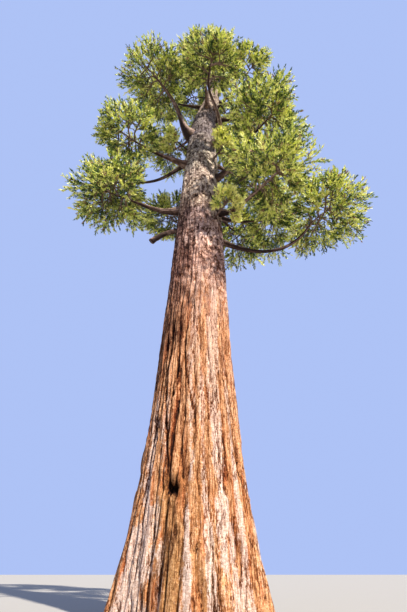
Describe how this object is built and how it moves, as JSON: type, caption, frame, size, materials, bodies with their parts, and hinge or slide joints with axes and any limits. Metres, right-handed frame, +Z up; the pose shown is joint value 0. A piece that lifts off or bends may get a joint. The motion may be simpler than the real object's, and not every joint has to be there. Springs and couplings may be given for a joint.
{
  "type": "giant sequoia tree",
  "caption": "Tall conifer with a massive flared, furrowed orange trunk, bare below, short upturned boughs and rounded masses of green foliage up to its tip.",
  "frame": {"origin": "middle of the flat cut under the trunk, at ground level", "axes": "+Z up, the way the trunk grows; a person at its foot on the side the picture shows looks along +Y and has +X on the right"},
  "size_m": [15.3702, 12.3036, 39.9644],
  "materials": {
    "trunk_bark": "rough",
    "limb_bark": "rough",
    "foliage": "matte"
  },
  "bodies": {
    "root": {"trunk": "trunk_bark", "bough_01": "limb_bark", "bough_02": "limb_bark", "bough_03": "limb_bark", "bough_04": "limb_bark", "bough_05": "limb_bark", "bough_06": "limb_bark", "bough_07": "limb_bark", "bough_08": "limb_bark", "bough_09": "limb_bark", "bough_10": "limb_bark", "bough_11": "limb_bark", "bough_12": "limb_bark", "bough_13": "limb_bark", "bough_14": "limb_bark", "bough_15": "limb_bark", "bough_16": "limb_bark", "bough_17": "limb_bark", "bough_18": "limb_bark", "bough_19": "limb_bark", "bough_20": "limb_bark", "bough_21": "limb_bark", "bough_22": "limb_bark", "bough_23": "limb_bark", "bough_24": "limb_bark", "bough_25": "limb_bark", "bough_26": "limb_bark", "broken_limb": "limb_bark", "foliage_01": "foliage", "foliage_02": "foliage", "foliage_03": "foliage", "foliage_04": "foliage", "foliage_05": "foliage", "foliage_06": "foliage", "foliage_07": "foliage", "foliage_08": "foliage", "foliage_09": "foliage", "foliage_10": "foliage", "foliage_11": "foliage", "foliage_12": "foliage", "foliage_13": "foliage", "foliage_14": "foliage", "foliage_15": "foliage", "foliage_16": "foliage", "foliage_17": "foliage", "foliage_18": "foliage", "foliage_19": "foliage", "foliage_20": "foliage", "foliage_21": "foliage", "foliage_22": "foliage", "foliage_23": "foliage", "foliage_24": "foliage", "foliage_25": "foliage", "foliage_26": "foliage", "foliage_trunk_low": "foliage", "foliage_trunk_high": "foliage", "foliage_leader_right": "foliage", "foliage_leader_left": "foliage", "foliage_top": "foliage", "foliage_trunk_left": "foliage"}
  },
  "joints": []
}
